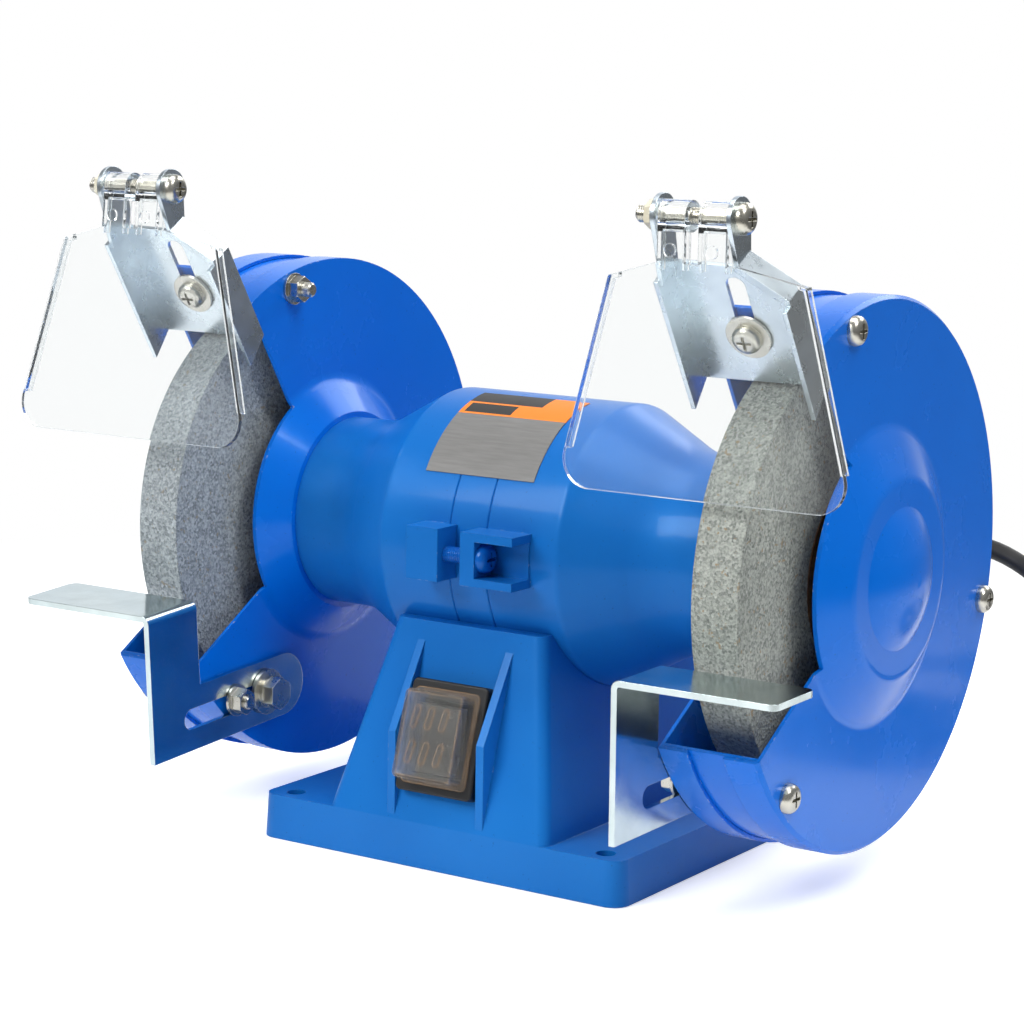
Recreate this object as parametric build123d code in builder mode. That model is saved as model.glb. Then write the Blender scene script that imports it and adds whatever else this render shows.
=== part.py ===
"""Bench grinder: an induction motor on a cast pedestal turns two grinding wheels in sheet guards.

X runs along the shaft (+X is the right-hand wheel), -Y is the working side and +Z is up.  The origin
is on the bench, under the middle of the motor and of the four base bolts.  Units are millimetres.
"""

import os
from math import atan2, cos, degrees, radians, sin, tan

from build123d import *

os.makedirs("parts", exist_ok=True)

# ---------------------------------------------------------------- driving dimensions
# Pedestal casting
base_width = 144.0
base_depth = 130.4
base_corner = 6.0
flange_height = 15.0
flange_draft = 3.0
bolt_spacing_x = 124.0
bolt_spacing_y = 115.0
bolt_hole = 6.5
casting_wall = 4.0
tower_foot_width = 87.0
tower_top_width = 59.0
tower_top_depth = 91.6
tower_height = 78.6
tower_corner = 4.0
rib_offset = 17.5
rib_thickness = 3.0

# Motor
axis_height = 103.4
motor_radius = 47.5
motor_half_length = 34.6
stack_half_length = 7.3
shell_wall = 4.0
neck_radius = 33.1
neck_start = 61.5
shoulder_round = 4.0
neck_round = 30.0
neck_end = 82.0
rotor_radius = 22.6
air_gap = 0.4
shaft_diameter = 15.0
bearing_outer = 35.0
bearing_width = 11.0

# Grinding wheels
wheel_diameter = 150.0
wheel_width = 16.0
wheel_bore = 12.7
wheel_inner_face = 100.4
blotter_thickness = 0.4
blotter_diameter = 62.0
clamp_flange_diameter = 52.0
clamp_flange_thickness = 3.0

# Wheel guards
sheet = 1.2
guard_inner_face = 91.0
guard_outer_face = 125.4
guard_radius = 89.0
disc_lip = 10.0
cover_lip = 12.0
opening_top = 122.0
opening_bottom = 211.0
opening_hub = 45.0
cover_screw_circle = 83.0
cover_screw_angles = (106.4, 226.4, 346.4)
dish_radius = 48.0
dome_radius = 23.0
dome_depth = 6.0
dish_round = 6.0

# Tool rests
rest_thickness = 2.0
rest_bolt_y = -41.0
rest_bolt_z = 43.5
rest_arm_width = 22.0
rest_arm_tail = 10.4
rest_front = -59.5
rest_plate_depth = 24.8
rest_plate_length = 55.0
rest_height = 40.0
rest_slot_width = 7.2
rest_slot_front = -39.8
rest_slot_rear = 7.4
rest_nose_down = {"left": 3.8, "right": 0.7}

# Eye shields
bracket_sheet = 1.5
bracket_width = 42.8
bracket_bottom = 76.6
bracket_shoulder = 112.0
bracket_flange = 11.6
bracket_joggle = 8.4
bracket_shift = -3.2
bracket_slot_width = 6.6
bracket_slot_bottom = 90.5
bracket_slot_top = 112.0
clamp_screw_radius = 94.0
tab_top = 103.0
tab_width = 20.0
hinge_radius = 135.5
ear_left = -19.0
ear_right = 5.4
ear_radius = 6.6
knuckle_radius = 4.8
shield_thickness = 2.0
shield_offset = -2.3
shield_top_width = 66.4
shield_bottom_width = 101.2
shield_top = 14.0
shield_shoulder = 18.5
shield_bottom = 84.0
shield_tilt = {"left": 6.0, "right": 0.0}

# Switch
switch_height = 42.4
bezel_width = 30.0
bezel_length = 37.4
bezel_thickness = 4.5
dust_cover_width = 23.0
dust_cover_length = 29.5
dust_cover_height = 13.0
rocker_throw = 18.0

# Mains cord
cord_diameter = 6.8
cord_exit_height = 38.0
strain_relief_length = 36.0
coil_turn_diameter = 75.0
coil_across = 3
coil_layers = 2

# Fits
fit = 0.1
slide = 0.2
running = 0.05

# ---------------------------------------------------------------- worked out from the above
shaft_axis = Axis((0, 0, axis_height), (1, 0, 0))
guard_middle = (guard_inner_face + guard_outer_face) / 2
wheel_outer_face = wheel_inner_face + wheel_width
tower_foot_depth = base_depth - 2 * flange_height * tan(radians(flange_draft))
tower_rise = tower_height - flange_height
front_slope = degrees(atan2((tower_foot_depth - tower_top_depth) / 2, tower_rise))
inner_clamp_face = wheel_inner_face - blotter_thickness - clamp_flange_thickness
outer_clamp_face = wheel_outer_face + blotter_thickness + clamp_flange_thickness
band_radius = guard_radius - sheet - fit
rest_outer_face = guard_inner_face - slide - rest_thickness
rest_screw_angle = cover_screw_angles[1]
cover_screw_end = rest_outer_face - 6.5
sides = (("left", -1), ("right", 1))
opening_direction = (0, cos(radians(opening_top)), sin(radians(opening_top)))
shield_planes = {
    name: Plane(
        origin=(sign * guard_middle + bracket_shift, 0, axis_height),
        x_dir=(1, 0, 0),
        z_dir=(0, -opening_direction[2], opening_direction[1]),
    )
    for name, sign in sides
}


def wall_y(height):
    """Distance of the slanted front and rear walls from the middle plane at a height."""
    return tower_foot_depth / 2 - (height - flange_height) * tan(radians(front_slope))


def along_x(x, radius, angle):
    """Point at a radius and angle about the shaft; 0 degrees is to the rear and 90 is up."""
    return (x, radius * cos(radians(angle)), axis_height + radius * sin(radians(angle)))


def finish(piece, name):
    """Name a finished piece and write it to its own file."""
    piece.part.label = name
    export_step(piece.part, f"parts/{name}.step")


def ring(x_start, x_end, outer, inner):
    """Ring about the shaft, added to the part being built."""
    with BuildSketch(Plane.YZ.offset(x_start)) as section:
        with Locations((0, axis_height)):
            Circle(outer)
            if inner:
                Circle(inner, mode=Mode.SUBTRACT)
    extrude(section.sketch, amount=x_end - x_start)


# ---------------------------------------------------------------- fasteners
def pan_screw(diameter, length, head_diameter, head_height):
    """Pan-head cross-recess screw along Z, its head above z = 0 and its shank below."""
    with BuildPart() as screw:
        Cylinder(head_diameter / 2, head_height, align=(Align.CENTER, Align.CENTER, Align.MIN))
        fillet(screw.edges().sort_by(Axis.Z)[-1], head_height * 0.7)
        with Locations((0, 0, head_height)):
            for turn in (0, 90):
                Box(diameter, diameter * 0.2, head_height, rotation=(0, 0, turn), mode=Mode.SUBTRACT)
        Cylinder(diameter / 2, length, align=(Align.CENTER, Align.CENTER, Align.MAX))
        chamfer(screw.edges().sort_by(Axis.Z)[0], diameter * 0.12)
    return screw.part


def hex_body(across_flats, height, bore):
    """Hexagon nut or bolt head along +Z with chamfered corners."""
    corner = across_flats / 2 / cos(radians(30))
    with BuildPart() as body:
        with BuildSketch():
            RegularPolygon(across_flats / 2, 6, major_radius=False)
            if bore:
                Circle(bore / 2, mode=Mode.SUBTRACT)
        extrude(amount=height)
        Cone(corner + height, corner * 0.93, height, mode=Mode.INTERSECT,
             align=(Align.CENTER, Align.CENTER, Align.MIN))
    return body.part


def washer(diameter, bore, thickness):
    """Flat washer along +Z."""
    with BuildPart() as disc:
        with BuildSketch():
            Circle(diameter / 2)
            Circle(bore / 2, mode=Mode.SUBTRACT)
        extrude(amount=thickness)
    return disc.part


def facing(point, direction):
    """Location at a point whose Z axis looks along a direction."""
    return Plane(origin=point, z_dir=direction).location


# ---------------------------------------------------------------- pedestal
plate_screw_spacing_x = base_width - 28.0
plate_screw_spacing_y = 56.0
plate_top = 4.0
plate_thickness = 1.5
saddle_bolt_x = 20.0
saddle_bolt_size = 6.0

with BuildPart() as pedestal_hollow:
    with BuildSketch():
        Rectangle(base_width - 2 * casting_wall, base_depth - 2 * casting_wall)
    extrude(amount=flange_height - casting_wall)
    with BuildSketch(Plane.XY.offset(flange_height - casting_wall - 1)):
        Rectangle(tower_foot_width - 2 * casting_wall, tower_foot_depth - 2 * casting_wall)
    with BuildSketch(Plane.XY.offset(tower_height)):
        Rectangle(tower_top_width - 2 * casting_wall, tower_top_depth - 2 * casting_wall)
    loft()
    with Locations((0, 0, axis_height)):
        Cylinder(motor_radius + casting_wall, base_width, rotation=(0, 90, 0), mode=Mode.SUBTRACT)
    with GridLocations(bolt_spacing_x, bolt_spacing_y, 2, 2):
        Cylinder(8, 2 * flange_height, mode=Mode.SUBTRACT)
    with Locations((0, 0, plate_top)):
        with GridLocations(plate_screw_spacing_x, plate_screw_spacing_y, 2, 2):
            Cylinder(4, flange_height, align=(Align.CENTER, Align.CENTER, Align.MIN), mode=Mode.SUBTRACT)

switch_plane = Plane(
    origin=(0, -wall_y(switch_height), switch_height),
    x_dir=(1, 0, 0),
    z_dir=(0, -cos(radians(front_slope)), sin(radians(front_slope))),
)

rear_plane = Plane(
    origin=(0, wall_y(cord_exit_height), cord_exit_height),
    x_dir=(-1, 0, 0),
    z_dir=(0, cos(radians(front_slope)), sin(radians(front_slope))),
)
relief_collar = 5.3

with BuildPart() as pedestal:
    with BuildSketch():
        RectangleRounded(base_width, base_depth, base_corner)
    extrude(amount=flange_height, taper=flange_draft)
    with BuildSketch(Plane.XY.offset(flange_height)):
        RectangleRounded(tower_foot_width, tower_foot_depth, tower_corner)
    with BuildSketch(Plane.XY.offset(tower_height)):
        RectangleRounded(tower_top_width, tower_top_depth, tower_corner)
    loft()
    rib_knee = flange_height + 0.46 * tower_rise
    for side in (-1, 1):
        with BuildSketch(Plane.YZ.offset(side * rib_offset - rib_thickness / 2)):
            with BuildLine():
                Polyline(
                    (-wall_y(tower_height) - 0.5, tower_height - 4),
                    (-tower_foot_depth / 2 + 0.4, rib_knee),
                    (-tower_foot_depth / 2 + 0.4, flange_height - 1),
                    (-wall_y(tower_height) + casting_wall, flange_height - 1),
                    (-wall_y(tower_height) + casting_wall, tower_height - 4),
                    close=True,
                )
            make_face()
        extrude(amount=rib_thickness)
    add(pedestal_hollow.part, mode=Mode.SUBTRACT)
    with Locations((0, 0, axis_height)):
        Cylinder(motor_radius + running, base_width, rotation=(0, 90, 0), mode=Mode.SUBTRACT)
    with GridLocations(bolt_spacing_x, bolt_spacing_y, 2, 2):
        Cylinder(bolt_hole / 2, 2 * flange_height + 2, mode=Mode.SUBTRACT)
    with Locations((0, 0, plate_top)):
        with GridLocations(plate_screw_spacing_x, plate_screw_spacing_y, 2, 2):
            Cylinder(2, 5, align=(Align.CENTER, Align.CENTER, Align.MIN), mode=Mode.SUBTRACT)
    with BuildSketch(switch_plane.offset(casting_wall)):
        Rectangle(bezel_width - 4, bezel_length - 4)
    extrude(amount=-3 * casting_wall, mode=Mode.SUBTRACT)
    with Locations(rear_plane):
        Cylinder(relief_collar + fit, 4 * casting_wall, mode=Mode.SUBTRACT)
    with Locations((-saddle_bolt_x, 0), (saddle_bolt_x, 0)):
        Cylinder(saddle_bolt_size / 2 + fit, axis_height, align=(Align.CENTER, Align.CENTER, Align.MIN),
                 mode=Mode.SUBTRACT)
finish(pedestal, "pedestal")

with BuildPart() as base_plate:
    with BuildSketch(Plane.XY.offset(plate_top - plate_thickness)):
        Rectangle(base_width - 2 * casting_wall - 0.6, base_depth - 2 * casting_wall - 0.6)
        with GridLocations(bolt_spacing_x, bolt_spacing_y, 2, 2):
            Circle(8.3, mode=Mode.SUBTRACT)
        with GridLocations(plate_screw_spacing_x, plate_screw_spacing_y, 2, 2):
            Circle(2 + fit, mode=Mode.SUBTRACT)
    extrude(amount=plate_thickness)
finish(base_plate, "base_plate")

base_screw = pan_screw(4.0, plate_thickness + 4.5, 7.5, 1.9)
with BuildPart() as base_plate_screws:
    for x in (-plate_screw_spacing_x / 2, plate_screw_spacing_x / 2):
        for y in (-plate_screw_spacing_y / 2, plate_screw_spacing_y / 2):
            with Locations(facing((x, y, plate_top - plate_thickness), (0, 0, -1))):
                add(base_screw)
finish(base_plate_screws, "base_plate_screws")

# ---------------------------------------------------------------- motor
lug_half_height = 8.8
lug_front = motor_radius + 10.5
lug_start = 4.4
tie_screw_y = motor_radius + 5.4
tie_screw_size = 5.0
tie_head_seat = 10.0
lug_end = {"left": 17.0, "right": 24.6}
bearing_start = neck_end - 5.0 - bearing_width
saddle_boss_top = motor_radius - 8.5
guard_screw_circle = 25.0
guard_screw_angles = (30, 150, 270)
guard_screw_size = 5.0
guard_screw_depth = 12.0
shaft_clearance = shaft_diameter / 2 + 1.5
parting = 0.4
inner_radius = motor_radius - shell_wall
neck_inner = neck_radius - shell_wall

for name, sign in sides:
    bolt_side = sign * saddle_bolt_x
    with BuildPart() as end_bell:
        with BuildSketch(Plane.XZ) as profile:
            with BuildLine():
                Polyline(
                    (sign * stack_half_length, axis_height),
                    (sign * stack_half_length, axis_height + motor_radius - parting),
                    (sign * (stack_half_length + parting), axis_height + motor_radius),
                    (sign * motor_half_length, axis_height + motor_radius),
                    (sign * neck_start, axis_height + neck_radius),
                    (sign * neck_end, axis_height + neck_radius),
                    (sign * neck_end, axis_height),
                    close=True,
                )
            make_face()
            for corner, round_radius in ((motor_half_length, shoulder_round), (neck_start, neck_round)):
                fillet(profile.vertices().filter_by_position(
                    Axis.X, sign * corner - 0.1, sign * corner + 0.1), round_radius)
        revolve(axis=shaft_axis)
        for y_sign in (-1, 1):
            with Locations((sign * (lug_start + lug_end[name]) / 2, y_sign * (lug_front - 9), axis_height)):
                Box(lug_end[name] - lug_start, 18, 2 * lug_half_height)
            if name == "right":
                with Locations((tie_head_seat, y_sign * lug_front, axis_height)):
                    Box(lug_end[name], 2 * (lug_front - motor_radius - 0.6), 2 * lug_half_height - 5.6,
                        align=(Align.MIN, Align.CENTER, Align.CENTER), mode=Mode.SUBTRACT)
            with Locations((0, y_sign * tie_screw_y, axis_height)):
                Cylinder(tie_screw_size / 2 + running, 3 * lug_end[name], rotation=(0, 90, 0),
                         mode=Mode.SUBTRACT)
        with Locations((0, 0, axis_height)):
            Cylinder(motor_radius + fit, 2 * stack_half_length, rotation=(0, 90, 0), mode=Mode.SUBTRACT)
        with BuildSketch(Plane.XZ):
            with BuildLine():
                Polyline(
                    (sign * (stack_half_length - 1), axis_height),
                    (sign * (stack_half_length - 1), axis_height + inner_radius),
                    (sign * (motor_half_length - 1), axis_height + inner_radius),
                    (sign * neck_start, axis_height + neck_inner),
                    (sign * (bearing_start - 2), axis_height + neck_inner),
                    (sign * (bearing_start - 2), axis_height + bearing_outer / 2 + running),
                    (sign * (bearing_start + bearing_width), axis_height + bearing_outer / 2 + running),
                    (sign * (bearing_start + bearing_width), axis_height + shaft_clearance),
                    (sign * (neck_end + 1), axis_height + shaft_clearance),
                    (sign * (neck_end + 1), axis_height),
                    close=True,
                )
            make_face()
        revolve(axis=shaft_axis, mode=Mode.SUBTRACT)
        with Locations((bolt_side, 0, axis_height - saddle_boss_top)):
            Cylinder(6, motor_radius - saddle_boss_top - 1, mode=Mode.ADD,
                     align=(Align.CENTER, Align.CENTER, Align.MAX))
            Cylinder(saddle_bolt_size / 2 + running, 4 * shell_wall, mode=Mode.SUBTRACT,
                     align=(Align.CENTER, Align.CENTER, Align.MAX))
        for angle in guard_screw_angles:
            with Locations(facing(along_x(sign * neck_end, guard_screw_circle, angle), (-sign, 0, 0))):
                Cylinder(guard_screw_size / 2 + running, guard_screw_depth,
                         align=(Align.CENTER, Align.CENTER, Align.MIN), mode=Mode.SUBTRACT)
    finish(end_bell, f"end_bell_{name}")

slot_count = 24
slot_depth = 12.0
slot_width = 3.0
stack_bore = rotor_radius + air_gap
slot_middle = stack_bore + 1.5 + slot_depth / 2
with BuildPart() as stator_core:
    with BuildSketch(Plane.YZ.offset(-stack_half_length)):
        with Locations((0, axis_height)):
            Circle(motor_radius)
            Circle(stack_bore, mode=Mode.SUBTRACT)
            with PolarLocations(slot_middle, slot_count):
                Rectangle(slot_depth, slot_width, mode=Mode.SUBTRACT)
    extrude(amount=2 * stack_half_length)
    chamfer(stator_core.edges().filter_by(GeomType.CIRCLE).filter_by(
        lambda edge: edge.radius > inner_radius), parting)
finish(stator_core, "stator_core")

winding_reach = 15.0
with BuildPart() as stator_windings:
    for sign in (-1, 1):
        with BuildSketch(Plane.XZ):
            with Locations((sign * (stack_half_length + winding_reach / 2), axis_height + slot_middle)):
                RectangleRounded(winding_reach, slot_depth - 0.6, 3)
        revolve(axis=shaft_axis)
    with BuildSketch(Plane.YZ.offset(-stack_half_length - 1)):
        with Locations((0, axis_height)):
            with PolarLocations(slot_middle, slot_count):
                Rectangle(slot_depth - 0.8, slot_width - 0.6)
    extrude(amount=2 * stack_half_length + 2)
finish(stator_windings, "stator_windings")

tie_screw = pan_screw(tie_screw_size, tie_head_seat + lug_end["left"] - 1.5, 9.5, 3.5)
with BuildPart() as housing_tie_screws:
    for y_sign in (-1, 1):
        with Locations(facing((tie_head_seat, y_sign * tie_screw_y, axis_height), (1, 0, 0))):
            add(tie_screw)
finish(housing_tie_screws, "housing_tie_screws")

saddle_web = axis_height - motor_radius - casting_wall
saddle_washer = 1.2
saddle_reach = axis_height - saddle_boss_top - saddle_web + saddle_washer - 2
with BuildPart() as saddle_bolts:
    for x in (-saddle_bolt_x, saddle_bolt_x):
        with Locations((x, 0, saddle_web - saddle_washer)):
            add(washer(12, saddle_bolt_size + 0.4, saddle_washer))
            Cylinder(saddle_bolt_size / 2, saddle_reach, align=(Align.CENTER, Align.CENTER, Align.MIN))
        with Locations((x, 0, saddle_web - saddle_washer - 4)):
            add(hex_body(10, 4, 0))
finish(saddle_bolts, "saddle_bolts")

# ---------------------------------------------------------------- bearings and rotor
inner_race = 9.8
outer_race = 15.2
ball_radius = (outer_race - inner_race) / 2 - running
ball_circle = (outer_race + inner_race) / 2
bearing_middle = bearing_start + bearing_width / 2
with BuildPart() as bearing_outer_rings:
    for _, sign in sides:
        ring(sign * bearing_start, sign * (bearing_start + bearing_width), bearing_outer / 2, outer_race)
finish(bearing_outer_rings, "bearing_outer_rings")

with BuildPart() as bearing_inner_rings:
    for _, sign in sides:
        ring(sign * bearing_start, sign * (bearing_start + bearing_width), inner_race,
             shaft_diameter / 2 + running)
finish(bearing_inner_rings, "bearing_inner_rings")

with BuildPart() as bearing_balls:
    for _, sign in sides:
        for index in range(9):
            with Locations(along_x(sign * bearing_middle, ball_circle, 40 * index)):
                Sphere(ball_radius)
finish(bearing_balls, "bearing_balls")

thread_diameter = 12.0
shaft_end = outer_clamp_face + 10.5
core_seat = shaft_diameter / 2 + 1
shaft_steps = (
    (bearing_start - 2, core_seat),
    (inner_clamp_face, shaft_diameter / 2),
    (outer_clamp_face - 0.5, wheel_bore / 2),
    (shaft_end, thread_diameter / 2),
)
with BuildPart() as rotor_shaft:
    for _, sign in sides:
        start = 0
        for end, radius in shaft_steps:
            ring(sign * start, sign * end, radius, 0)
            start = end
    chamfer(rotor_shaft.edges().group_by(Axis.X)[0], 1)
    chamfer(rotor_shaft.edges().group_by(Axis.X)[-1], 1)
finish(rotor_shaft, "rotor_shaft")

end_ring_reach = 5.0
with BuildPart() as rotor_core:
    ring(-stack_half_length, stack_half_length, rotor_radius, core_seat + running)
    for _, sign in sides:
        ring(sign * stack_half_length, sign * (stack_half_length + end_ring_reach), rotor_radius - 1, 14)
finish(rotor_core, "rotor_core")

with BuildPart() as wheel_blotters:
    for _, sign in sides:
        for face, outward in ((wheel_inner_face, -1), (wheel_outer_face, 1)):
            ring(sign * face, sign * (face + outward * blotter_thickness), blotter_diameter / 2,
                 wheel_bore / 2 + fit)
finish(wheel_blotters, "wheel_blotters")

for name, sign in sides:
    with BuildPart() as wheel:
        ring(sign * wheel_inner_face, sign * wheel_outer_face, wheel_diameter / 2, wheel_bore / 2 + fit)
    finish(wheel, f"grinding_wheel_{name}")

    with BuildPart() as clamp_flanges:
        for face, outward in ((inner_clamp_face, 1), (outer_clamp_face, -1)):
            ring(sign * face, sign * (face + outward * clamp_flange_thickness),
                 clamp_flange_diameter / 2, wheel_bore / 2 + running)
    finish(clamp_flanges, f"clamp_flanges_{name}")

    with BuildPart() as wheel_nut:
        with Locations(facing((sign * outer_clamp_face, 0, axis_height), (sign, 0, 0))):
            add(hex_body(19, 7.5, thread_diameter + 2 * running))
    finish(wheel_nut, f"wheel_nut_{name}")

# ---------------------------------------------------------------- wheel guards
dish_rise = 8.0
plateau = guard_outer_face + dish_rise
plateau_radius = dome_radius + 9.0
disc_dish = opening_hub + 1.5
rest_bolt_size = 6.0
hub_hole = shaft_diameter / 2 + 2.5


def cut_opening(start, end):
    """Cut the front opening between two radial edges and the hub circle, over a length along X."""
    reach = 2 * guard_radius
    with BuildSketch(Plane.YZ.offset(start)) as opening:
        with BuildLine():
            hub = CenterArc((0, axis_height), opening_hub, opening_top, opening_bottom - opening_top)
            top = Line(hub @ 0, along_x(0, reach, opening_top)[1:])
            bottom = Line(hub @ 1, along_x(0, reach, opening_bottom)[1:])
            Line(top @ 1, bottom @ 1)
        make_face()
    extrude(opening.sketch, amount=end - start, mode=Mode.SUBTRACT)


def notch_lip(plane):
    """Notch a guard's lip where the band's tab passes out through it."""
    with BuildSketch(plane.offset(-sheet - 2 * fit)) as notch:
        with Locations((0, guard_radius)):
            Rectangle(tab_width + 4 * fit, 2 * (guard_radius - band_radius) + fit)
    extrude(notch.sketch, amount=2 * sheet, mode=Mode.SUBTRACT)


def dome_arc(apex_x, rim_x, rim_radius, sign):
    """Arc from the rim of the hub dome to its apex on the shaft axis."""
    rise = apex_x - rim_x
    curve = (rim_radius ** 2 + rise ** 2) / (2 * rise)
    middle = apex_x - curve + (curve ** 2 - rim_radius ** 2 / 4) ** 0.5
    return ThreePointArc(
        (sign * rim_x, axis_height + rim_radius),
        (sign * middle, axis_height + rim_radius / 2),
        (sign * apex_x, axis_height),
    )


for name, sign in sides:
    with BuildPart() as guard_disc:
        with BuildSketch(Plane.XZ) as profile:
            with BuildLine():
                Polyline(
                    *[(sign * x, axis_height + radius) for x, radius in (
                        (guard_inner_face + disc_lip, guard_radius),
                        (guard_inner_face, guard_radius),
                        (guard_inner_face, disc_dish),
                        (neck_end, neck_radius + 2.0),
                        (neck_end, hub_hole),
                        (neck_end + sheet, hub_hole),
                        (neck_end + sheet, neck_radius + 1.4),
                        (guard_inner_face + sheet, disc_dish - 0.6),
                        (guard_inner_face + sheet, guard_radius - sheet),
                        (guard_inner_face + disc_lip, guard_radius - sheet),
                    )],
                    close=True,
                )
            make_face()
            fillet(profile.vertices().filter_by_position(
                Axis.Y, axis_height + disc_dish - sheet, axis_height + disc_dish + 0.1), dish_round)
        revolve(axis=shaft_axis)
        cut_opening(sign * (guard_inner_face - 1), sign * (guard_inner_face + disc_lip + 1))
        notch_lip(shield_planes[name])
        for angle in cover_screw_angles:
            with Locations(facing(along_x(sign * guard_inner_face, cover_screw_circle, angle), (1, 0, 0))):
                Cylinder(2.5 + fit, 4 * sheet, mode=Mode.SUBTRACT)
        with Locations(facing((sign * guard_inner_face, rest_bolt_y, rest_bolt_z), (1, 0, 0))):
            Cylinder(rest_bolt_size / 2 + fit, 4 * sheet, mode=Mode.SUBTRACT)
        for angle in guard_screw_angles:
            with Locations(facing(along_x(sign * neck_end, guard_screw_circle, angle), (1, 0, 0))):
                Cylinder(guard_screw_size / 2 + fit, 4 * sheet, mode=Mode.SUBTRACT)
    finish(guard_disc, f"guard_disc_{name}")

    with BuildPart() as guard_band:
        ring(sign * (guard_inner_face + sheet), sign * (guard_outer_face - sheet), band_radius,
             band_radius - sheet)
        cut_opening(sign * guard_inner_face, sign * guard_outer_face)
        tab_plane = shield_planes[name].offset(-sheet - fit)
        with BuildSketch(tab_plane) as tab:
            with Locations((0, (band_radius - sheet + tab_top) / 2)):
                Rectangle(tab_width, tab_top - band_radius + sheet)
            with Locations((0, clamp_screw_radius)):
                Circle(2.5 + fit, mode=Mode.SUBTRACT)
        extrude(amount=sheet)
    finish(guard_band, f"guard_band_{name}")

    with BuildPart() as guard_cover:
        with BuildSketch(Plane.XZ) as profile:
            with BuildLine():
                outer_arc = dome_arc(plateau + dome_depth, plateau, dome_radius, sign)
                inner_arc = dome_arc(plateau + dome_depth - sheet, plateau - sheet, dome_radius, sign)
                outer = Polyline(
                    *[(sign * x, axis_height + radius) for x, radius in (
                        (plateau, dome_radius),
                        (plateau, plateau_radius),
                        (guard_outer_face, dish_radius),
                        (guard_outer_face, guard_radius - 1.2),
                        (guard_outer_face - 1.2, guard_radius),
                        (guard_outer_face - cover_lip, guard_radius),
                        (guard_outer_face - cover_lip, guard_radius - sheet),
                        (guard_outer_face - sheet, guard_radius - sheet),
                        (guard_outer_face - sheet, dish_radius - sheet / 2),
                        (plateau - sheet, plateau_radius - sheet / 2),
                        (plateau - sheet, dome_radius),
                    )]
                )
                Line(inner_arc @ 1, outer_arc @ 1)
            make_face()
            for radius in (plateau_radius, dish_radius):
                fillet(profile.vertices().filter_by_position(
                    Axis.Y, axis_height + radius - sheet, axis_height + radius + 0.1), dish_round)
        revolve(axis=shaft_axis)
        cut_opening(sign * (guard_outer_face - cover_lip - 1), sign * (plateau + dome_depth))
        notch_lip(shield_planes[name])
        for angle in cover_screw_angles:
            with Locations(facing(along_x(sign * guard_outer_face, cover_screw_circle, angle), (1, 0, 0))):
                Cylinder(2.5 + fit, 4 * sheet, mode=Mode.SUBTRACT)
    finish(guard_cover, f"guard_cover_{name}")

    guard_screw = pan_screw(guard_screw_size, guard_screw_depth + sheet - 1, 9.5, 3.2)
    with BuildPart() as guard_screws:
        for angle in guard_screw_angles:
            with Locations(facing(along_x(sign * (neck_end + sheet), guard_screw_circle, angle), (sign, 0, 0))):
                add(guard_screw)
    finish(guard_screws, f"guard_mount_screws_{name}")

    cover_screw = pan_screw(5, guard_outer_face - cover_screw_end, 9.5, 3.4)
    with BuildPart() as cover_screws:
        for angle in cover_screw_angles:
            with Locations(facing(along_x(sign * guard_outer_face, cover_screw_circle, angle), (sign, 0, 0))):
                add(cover_screw)
    finish(cover_screws, f"cover_screws_{name}")

    with BuildPart() as cover_nuts:
        for angle in cover_screw_angles:
            seat = rest_outer_face - slide if angle == rest_screw_angle else guard_inner_face
            with Locations(facing(along_x(sign * seat, cover_screw_circle, angle), (-sign, 0, 0))):
                add(washer(11, 5 + 2 * running, 1))
            with Locations(facing(along_x(sign * (seat - 1), cover_screw_circle, angle), (-sign, 0, 0))):
                add(hex_body(8, 4, 5 + 2 * running))
    finish(cover_nuts, f"cover_nuts_{name}")

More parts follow.
